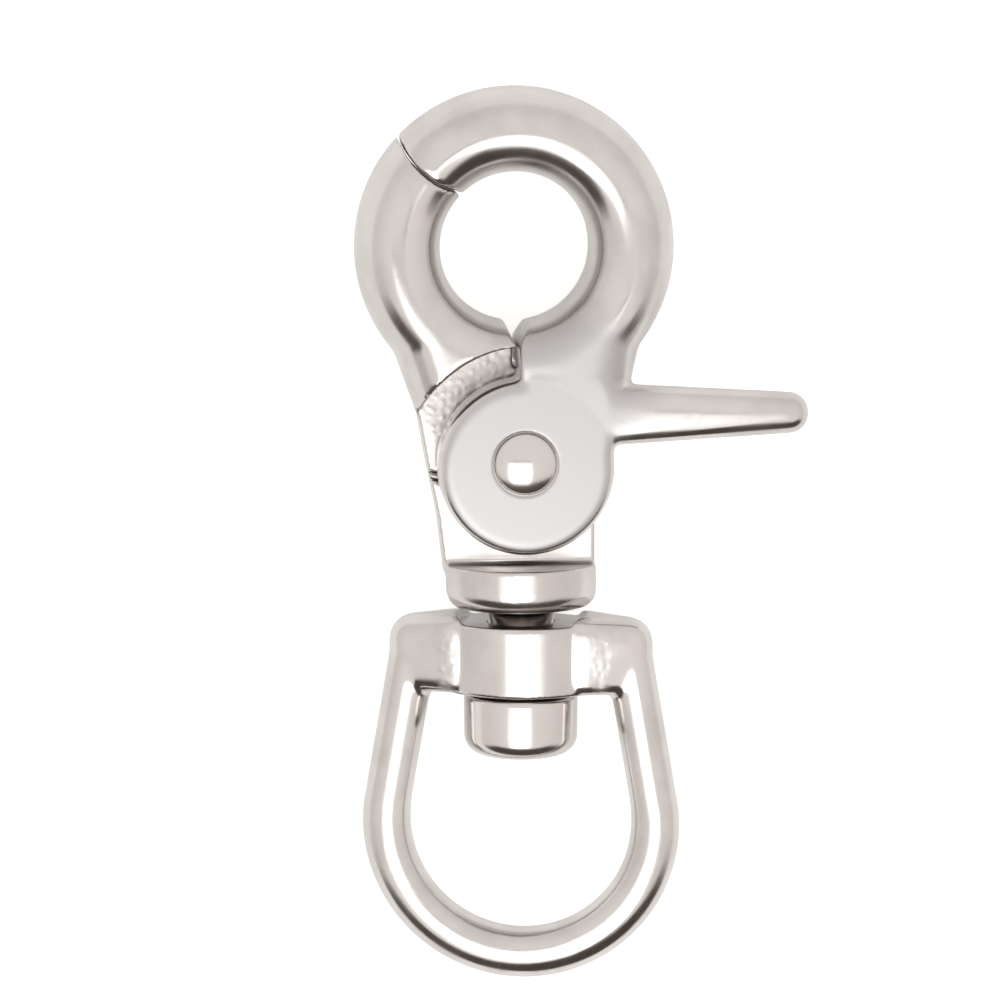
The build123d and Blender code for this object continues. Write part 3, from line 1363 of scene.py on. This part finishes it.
@dataclass
class LeverJaw:
    """The right jaw with its round lap and the thumb lever, cast in one piece.

    Args:
        layout: Places and sizes of the frame.
        ring: The ring that it is cut from.
        pivot: The joint that it shares.
        disc_centre: Centre of the round lap.
        disc_radius: Its radius.
        disc_edge: Rounding of its edge.
        recess: Radius of the room behind it for the other lap.
        neck_lumps: What thickens the jaw between the ring and the disc.
        thumb_root: The lump that the thumb lever starts from.
        thumb_level: Height of the thumb lever.
        tip_radius: Radius of its tip.
        seat_slip: Room round the rivet's head, at the bottom of its seat.
        grain: Size of the cells of the skin.
        blend_rounds: Rounds of smoothing between the ring and its neck.
        join_rounds: Rounds of smoothing once the disc, lever and nose are on.
        last_rounds: Rounds of smoothing at the end.
    """

    layout: Layout
    ring: CastRing
    pivot: Pivot
    disc_centre: Flat = (0.2, -0.5)
    disc_radius: float = 8.8
    disc_edge: float = 1.1
    recess: float = 9.2
    neck_lumps: tuple[Lump, ...] = (
        Lump((7.6, 13.2), (4.5, 4.5)),
        Lump((6.2, 7.6), (4.6, 4.0), squareness=2.4),
        Lump((1.8, 10.0), (3.6, 3.6), squareness=2.6),
    )
    thumb_root: Lump = Lump((7.8, 4.6), (4.2, 3.05), 2.6, 3.4)
    thumb_level: float = 9.0
    tip_radius: float = 2.1
    seat_slip: float = 0.02
    grain: float = 0.2
    blend_rounds: int = 24
    join_rounds: int = 18
    last_rounds: int = 2

    def face(self) -> list[bpy.types.Object]:
        """The flat disc and its run up into the arm.

        Returns:
            The two mesh objects.
        """
        low = self.layout.middle + self.pivot.lap_gap / 2
        disc = drum("disc", self.disc_centre, self.disc_radius, low, self.layout.thickness)
        soften(disc, self.disc_edge, 6)
        left = self.ring.joint_x + self.ring.joint_gap / 2
        outline = [(left, 0.0), (left, 9.6), (8.2, 9.6), (9.4, 7.0), (8.9, 0.0)]
        run = slab("face_run", outline, low, self.layout.thickness)
        soften(run, self.disc_edge, 6)
        return [disc, run]

    def thumb_lever(self) -> bpy.types.Object:
        """The tapered lever.

        Returns:
            The new mesh object.
        """
        reach = self.layout.lever_tip - self.tip_radius
        tip = Lump((reach, self.thumb_root.centre[1]), (self.tip_radius, 2.1), 2.2, 2.1)
        return skin_over("thumb", [self.thumb_root, tip], self.thumb_level)

    def build(self) -> bpy.types.Object:
        """Builds the casting.

        Returns:
            The finished mesh.
        """
        lay = self.layout
        low = lay.middle + self.pivot.lap_gap / 2
        high = lay.thickness + 1
        edge = self.ring.joint_x + self.ring.joint_gap / 2
        neck = skin_over("neck", self.neck_lumps, lay.middle)
        cut(neck, self.ring.plug())
        body = join("lever_jaw_casting", [self.ring.whole(), neck])
        cast_skin(body, self.grain, self.blend_rounds)
        cut(body, drum("lap", (0, 0), self.recess, -1, low))
        cut(body, self.ring.fixed_side(edge))
        nose = self.ring.whole()
        cut(nose, self.ring.nose(0), Cut.KEEP)
        piece = join("lever_jaw_casting", [body, *self.face(), self.thumb_lever(), nose])
        cast_skin(piece, self.grain, self.join_rounds)
        cut(piece, self.ring.notch())
        cut(piece, drum("shank", (0, 0), self.pivot.hole, -1, high))
        cut(piece, self.seat())
        cut(piece, self.pivot.groove(low - 1, low + self.pivot.coil_depth))
        cast_skin(piece, self.grain, self.last_rounds)
        return piece

    def seat(self) -> bpy.types.Object:
        """The shallow dish that the rivet's head sits in.

        Returns:
            The new mesh object.
        """
        piv = self.pivot
        top = self.layout.thickness
        floor = top - piv.seat_depth
        profile = [(floor, 0), (floor, piv.head + self.seat_slip)]
        profile += [(top - 0.2, piv.head + 0.08), (top + 0.05, piv.seat + 0.1)]
        profile += [(top + 1, piv.seat + 1), (top + 1, 0)]
        return turned("seat", profile, (0, 0, 0), (0, 0, 1))


@dataclass
class PivotRivet:
    """The rivet: a domed head in front, a shank, and a tail peened flush behind.

    Args:
        layout: Places and sizes of the frame.
        pivot: The joint that it holds.
        rim: Height of the head at its edge.
    """

    layout: Layout
    pivot: Pivot
    rim: float = 0.35

    def build(self) -> bpy.types.Object:
        """Builds the rivet.

        Returns:
            The finished mesh.
        """
        piv = self.pivot
        seat = self.layout.thickness - piv.seat_depth + 0.1
        rise = self.layout.dome_top - seat - self.rim
        sphere = (piv.head**2 + rise**2) / (2 * rise)
        reach = math.degrees(math.asin(piv.head / sphere))
        profile = [(0, 0), (0, piv.tail - 0.2), (0.2, piv.tail), (piv.tail_depth, piv.tail)]
        profile += [(piv.tail_depth, piv.shank), (seat, piv.shank), (seat, piv.head - 0.1)]
        profile += [(seat + 0.1, piv.head)]
        for step in range(17):
            turn = math.radians(reach * (1 - step / 16))
            height = self.layout.dome_top - sphere * (1 - math.cos(turn))
            profile.append((height, sphere * math.sin(turn)))
        return turned("pivot_rivet_turned", profile, (0, 0, 0), (0, 0, 1))


@dataclass
class SwivelStem:
    """The stem: its shank in the boss and its round head below the eye.

    Args:
        layout: Places and sizes of the frame.
        shank: Radius of the shank.
        head: Radius of the head.
        head_length: Length of the head.
        edge: Rounding of its lower edge.
        top_edge: Rounding of its upper edge.
        grip: How far the shank goes into the boss.
    """

    layout: Layout
    shank: float = 3.3
    head: float = 5.75
    head_length: float = 6.2
    edge: float = 2.0
    top_edge: float = 0.6
    grip: float = 4.0

    def build(self) -> bpy.types.Object:
        """Builds the stem.

        Returns:
            The finished mesh.
        """
        lay = self.layout
        low = lay.head_bottom
        top = low + self.head_length
        profile = [(low, 0.0)]
        rounding = (self.head - self.edge, low + self.edge)
        profile += [(y, x) for x, y in arc(rounding, self.edge, -90, 0, 12)]
        centre = (self.head - self.top_edge, top - self.top_edge)
        profile += [(y, x) for x, y in arc(centre, self.top_edge, 0, 90, 6)]
        profile += [(top, self.shank), (lay.boss_bottom + self.grip, self.shank)]
        profile += [(lay.boss_bottom + self.grip, 0.0)]
        return turned("swivel_stem_turned", profile, (0, 0, lay.middle), (0, 1, 0))


@dataclass
class SwivelEye:
    """The collar and the D-shaped loop, cast in one piece.

    Args:
        layout: Places and sizes of the frame.
        turn: How far the eye lies turned about the stem, in degrees, its left side down.
        collar_width: Width of the collar.
        collar_length: Its length along the stem.
        collar_depth: Its depth at the middle.
        collar_front: Radius of its bowed front and back.
        collar_edge: Rounding of its edges.
        shoulder_rise: How far the shoulders stand above the collar.
        loop_radius: Radius of the loop, to the middle of the bar.
        bar_radius: Radius of the bar at the foot of the loop.
        arm_radius: Its radius at the arms.
        arm_x: Where the arms meet the shoulders.
        arm_drop: How far below the top of the shoulders they do so.
        bore: Radius of the bore for the stem.
        grain: Size of the cells of the skin.
        blend_rounds: Rounds of smoothing between the loop and the shoulders.
        last_rounds: Rounds of smoothing at the end.
    """

    layout: Layout
    turn: float = 11.19
    collar_width: float = 13.5
    collar_length: float = 7.1
    collar_depth: float = 11.4
    collar_front: float = 9.25
    collar_edge: float = 0.25
    shoulder_rise: float = 0.7
    loop_radius: float = 13.7
    bar_radius: float = 2.7
    arm_radius: float = 2.42
    arm_x: float = 10.8
    arm_drop: float = 3.2
    bore: float = 3.38
    grain: float = 0.18
    blend_rounds: int = 42
    last_rounds: int = 2

    @property
    def collar_top(self) -> float:
        """Upper end of the collar."""
        return self.layout.eye_top - self.shoulder_rise

    @property
    def collar_bottom(self) -> float:
        """Lower end of the collar."""
        return self.collar_top - self.collar_length

    def loop(self) -> bpy.types.Object:
        """The round bar, from one shoulder round to the other.

        Returns:
            The new mesh object.
        """
        mid = self.layout.middle
        centre_y = self.layout.eye_bottom + self.bar_radius + self.loop_radius
        top = (self.arm_x, self.layout.eye_top - self.arm_drop)
        reach = math.hypot(top[0], top[1] - centre_y)
        bearing = math.atan2(top[1] - centre_y, top[0]) - math.acos(self.loop_radius / reach)
        touch = math.degrees(bearing)
        bow = arc((0, centre_y), self.loop_radius, touch, -180 - touch, 97)
        path = [top, *bow, (-top[0], top[1])]
        swell = self.bar_radius - self.arm_radius
        drops = [max(0.0, (bow[0][1] - y) / (2 * self.loop_radius)) for _, y in path]
        radii = [self.arm_radius + swell * drop**0.5 for drop in drops]
        return bar("loop", [(x, y, mid) for x, y in path], radii)

    def shoulder(self, side: int) -> bpy.types.Object:
        """The web between the collar and one arm.

        Args:
            side: 1 for the right one and -1 for the left one.

        Returns:
            The new mesh object.
        """
        high = self.layout.eye_top
        low = self.collar_bottom
        centre = (high + low) / 2
        half = (high - low) / 2
        lumps = [
            Lump((5.2, centre), (2.6, half + 0.1), 3.9, 6.0),
            Lump((10.55, high - 3.0), (2.85, 2.9), 2.6, 2.2),
            Lump((10.3, low + 1.7), (2.4, 1.9), 2.35, 2.6),
        ]
        return skin_over("shoulder", lumps, self.layout.middle, side)

    def collar(self) -> bpy.types.Object:
        """The collar round the stem.

        Returns:
            The new mesh object.
        """
        section = lens(self.collar_width / 2, self.collar_depth / 2, self.collar_front)
        points = [(x, self.collar_top, self.layout.middle + z) for x, z in section]
        piece = prism("collar", points, (0, -self.collar_length, 0))
        soften(piece, self.collar_edge, 3)
        return piece

    def build(self) -> bpy.types.Object:
        """Builds the casting.

        Returns:
            The finished mesh.
        """
        mid = self.layout.middle
        piece = join("swivel_eye_casting", [self.loop(), self.shoulder(1), self.shoulder(-1)])
        cast_skin(piece, self.grain, self.blend_rounds)
        piece = join("swivel_eye_casting", [piece, self.collar()])
        cast_skin(piece, self.grain, 0)
        high = self.collar_top
        cut(piece, rod("above", self.collar_width / 2 - 0.2, mid, high, high + 3))
        cut(piece, rod("bore", self.bore, mid, high + 3, self.collar_bottom - 3))
        cast_skin(piece, self.grain, self.last_rounds)
        centre = Matrix.Translation((0, 0, mid * MM))
        lean = Matrix.Rotation(math.radians(-self.turn), 4, "Y")
        piece.data.transform(centre @ lean @ centre.inverted())
        return piece


# ---------------------------------------------------------------------------------------------
# The studio
# ---------------------------------------------------------------------------------------------


@dataclass(frozen=True)
class Studio:
    """Floor, light and camera.

    Args:
        aim: The point that the camera looks at, in millimetres.
        lean_up: How far the camera stands towards the ring, in degrees.
        lean_left: How far it stands to the left, in degrees.
        distance: Its distance, in millimetres.
        lens: Focal length.
        box_height: Height of the soft box above the floor, in millimetres.
        box_width: Its width along X.
        box_shift: How far its middle stands to the right.
        box_strips: Its strips, brighter towards the window: two edges along Y and the brightness.
        paper_size: Length and width of the floor.
        mirror_depth: How far below the hook the paper lies that the metal mirrors.
        floor_depth: How far below it the lit floor lies.
        frame_y: Middle of the soft box's dark edge, along Y.
        frame_width: Width of that edge.
    """

    aim: Solid = (-2.1, -4.4, 5.8)
    lean_up: float = 8.5
    lean_left: float = 4.5
    distance: float = 500.0
    lens: float = 179.3
    box_height: float = 205.0
    box_width: float = 152.0
    box_shift: float = -24.0
    box_strips: tuple[tuple[float, float, float], ...] = (
        (-12.0, -36.0, 1.0),
        (-36.0, -60.0, 1.3),
        (-60.0, -184.0, 2.0),
    )
    paper_size: Flat = (3000.0, 3000.0)
    mirror_depth: float = 0.2
    floor_depth: float = 0.02
    frame_y: float = -7.0
    frame_width: float = 9.0

    def sheet(self, name: str, paper: StudioPaper, centre: Solid, size: Flat) -> bpy.types.Object:
        """A flat sheet of the studio.

        Args:
            name: Name of the new piece.
            paper: Its material.
            centre: Its middle, in millimetres.
            size: Its width and length, in millimetres.

        Returns:
            The new mesh object.
        """
        clear_selection()
        bpy.ops.mesh.primitive_grid_add(x_subdivisions=2, y_subdivisions=2, size=1.0)
        sheet = bpy.context.active_object
        sheet.name = name
        for corner in sheet.data.vertices:
            corner.co.x = (corner.co.x * size[0] + centre[0]) * MM
            corner.co.y = (corner.co.y * size[1] + centre[1]) * MM
            corner.co.z = centre[2] * MM
        sheet.data.materials.append(paper.material())
        return sheet

    def floor(self) -> None:
        """The pale floor: the paper that the metal mirrors, and the lit sheet seen round it."""
        below = (0, 0, -self.mirror_depth)
        paper = self.sheet("studio_paper", StudioPaper(glow=0.38), below, self.paper_size)
        paper.visible_camera = False
        lit = StudioPaper("studio_paper_lit", "#fbfaf8", 0.62)
        sheet = self.sheet("studio_floor", lit, (0, 0, -self.floor_depth), self.paper_size)
        sheet.visible_glossy = False
        sheet.visible_diffuse = False
        sheet.visible_shadow = False

    def frame_bar(self) -> None:
        """The thin dark edge of the soft box, which the ring mirrors as a fine line."""
        dark = StudioPaper("studio_frame", "#2e2c2a", 0.0)
        centre = (self.box_shift, self.frame_y, self.box_height)
        edge = self.sheet("studio_frame", dark, centre, (self.box_width, self.frame_width))
        edge.visible_camera = False

    def camera(self) -> bpy.types.Object:
        """The camera, with the ring up in the picture.

        Returns:
            The new camera object.
        """
        across = math.sin(math.radians(self.lean_left))
        up = math.sin(math.radians(self.lean_up))
        back = Vector((-across, up, math.sqrt(1 - across**2 - up**2)))
        above = Vector((0, 1, 0))
        above = (above - back * above.dot(back)).normalized()
        right = above.cross(back)
        data = bpy.data.cameras.new("camera")
        data.lens = self.lens
        data.sensor_width = 36.0
        data.clip_start = 0.01
        data.clip_end = 20.0
        camera = bpy.data.objects.new("camera", data)
        bpy.context.collection.objects.link(camera)
        turn = Matrix((right, above, back)).transposed().to_4x4()
        place = Vector(self.aim) * MM + back * self.distance * MM
        camera.matrix_world = Matrix.Translation(place) @ turn
        bpy.context.scene.camera = camera
        return camera

    def soft_box(self) -> None:
        """The large soft box above the hook, in strips that brighten away from the camera."""
        for number, (near, far, glow) in enumerate(self.box_strips):
            width = self.box_width * MM
            length = (near - far) * MM
            data = bpy.data.lights.new(f"soft_box_{number}", "AREA")
            data.shape = "RECTANGLE"
            data.size = width
            data.size_y = length
            data.energy = glow * math.pi * width * length
            light = bpy.data.objects.new(data.name, data)
            bpy.context.collection.objects.link(light)
            light.location = (self.box_shift * MM, (near + far) / 2 * MM, self.box_height * MM)
            light.visible_camera = False

    def surround(self) -> None:
        """The room's light: pale above, dark on the near side."""
        world = bpy.data.worlds.new("studio_room")
        bpy.context.scene.world = world
        world.use_nodes = True
        tree = world.node_tree
        tree.nodes.clear()
        way = node(tree, "ShaderNodeTexCoord").outputs["Generated"]
        split = node(tree, "ShaderNodeSeparateXYZ", {0: way})
        x, y, z = split.outputs
        down = node(tree, "ShaderNodeMath", {0: y, 1: z}, operation="ARCTAN2").outputs[0]
        bearing = node(tree, "ShaderNodeMath", {0: x, 1: y}, operation="ARCTAN2").outputs[0]
        off = node(tree, "ShaderNodeMath", {0: bearing}, operation="ABSOLUTE").outputs[0]
        dark = times(
            tree,
            blend_in(tree, down, math.radians(-40), math.radians(-46)),
            blend_in(tree, off, math.radians(110), math.radians(130)),
        )
        rise = blend_in(tree, z, 0.05, 1.0)
        pale = mix_colour(tree, rise, to_linear("#e2dcd9"), to_linear("#f1edeb"))
        colour = mix_colour(tree, dark, pale, to_linear("#4a423c"))
        light = node(tree, "ShaderNodeBackground", {"Color": colour, "Strength": 1.1})
        node(tree, "ShaderNodeOutputWorld", {"Surface": light.outputs[0]})


# ---------------------------------------------------------------------------------------------
# Putting it together
# ---------------------------------------------------------------------------------------------


@dataclass
class SnapHook:
    """The whole hook, dressed and fixed to its bodies.

    Args:
        layout: Places and sizes of the frame.
        pivot: The joint between the jaws.
    """

    layout: Layout
    pivot: Pivot = field(default_factory=Pivot)

    def place(
        self,
        piece: bpy.types.Object,
        node_name: str,
        body: Body,
        slot: Slot,
        material: bpy.types.Material,
    ) -> None:
        """Dresses a piece and lets it stand for its node.

        Args:
            piece: The finished mesh.
            node_name: The node that it stands for.
            body: The body that it moves with.
            slot: The record's material slot; not used.
            material: Its finish.
        """
        take(piece)
        bpy.ops.object.shade_smooth()
        piece.data.materials.clear()
        piece.data.materials.append(material)
        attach(piece, body.value)
        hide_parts(node_name)
        LOG.info("%s: %d faces on %s", piece.name, len(piece.data.polygons), body.value)

    def build(self, nodes: dict) -> None:
        """Builds every piece.

        Args:
            nodes: The frame's nodes, by name.
        """
        lay = self.layout
        ring = CastRing(lay)
        face = Zone((0.2, -0.5), 0, 8.9, lay.thickness - 0.5, lay.thickness + 1, 0.4, 0.8)
        arm = Zone((5.0, 8.0), 0, 7.0, lay.thickness - 2.5, lay.thickness + 1, 2.0, 0.5)
        floor = Zone((-5.6, 8.0), 0, 6.2, 4.9, 6.3, 0.4, 0.2)
        beside = [
            Zone((side * 7.6, -20 + step * 1.6), 0, 0.9, 6, 11, 0.5)
            for side in (-1, 1)
            for step in (-1.6, -0.6, 0.4, 1.4)
        ]
        hook, casting, turned_slot = Body.HOOK, Slot.CASTING, Slot.TURNED
        fixed_steel = PolishedCastSteel("polished_cast_steel_fixed", raw=(floor,))
        lever_steel = PolishedCastSteel("polished_cast_steel_lever", satin=(face, arm))
        eye_steel = PolishedCastSteel(
            "polished_cast_steel_eye", peel=2.2, peel_depth=0.02, raw=tuple(beside)
        )
        rivet_steel = TurnedSteel("turned_steel_rivet", axis=2)
        stem_steel = TurnedSteel("turned_steel_stem", axis=1)
        parts = (
            (FixedJaw(lay, ring, self.pivot), "fixed_jaw", hook, casting, fixed_steel),
            (LeverJaw(lay, ring, self.pivot), "lever_jaw", Body.LEVER, casting, lever_steel),
            (SwivelEye(lay), "swivel_eye", Body.EYE, casting, eye_steel),
            (PivotRivet(lay, self.pivot), "pivot_rivet", hook, turned_slot, rivet_steel),
            (SwivelStem(lay), "swivel_stem", hook, turned_slot, stem_steel),
        )
        for part, node_name, body, slot, steel in parts:
            self.place(part.build(), node_name, body, slot, steel.material())
        wire = TurnedSteel("drawn_spring_wire", tint="#a9a7a4", roughness=0.22, axis=0).material()
        spring = nodes["torsion_spring"]
        for place in spring.material_slots:
            place.material = wire
        LOG.info("torsion_spring: kept, %d faces", len(spring.data.polygons))


def main() -> None:
    logging.basicConfig(level=logging.INFO, format="%(message)s")
    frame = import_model()
    bpy.context.scene.view_settings.view_transform = "Standard"
    studio = Studio()
    studio.camera()
    SnapHook(Layout.read(frame["record"])).build(frame["nodes"])
    studio.floor()
    studio.frame_bar()
    studio.soft_box()
    studio.surround()


if __name__ == "__main__":
    main()
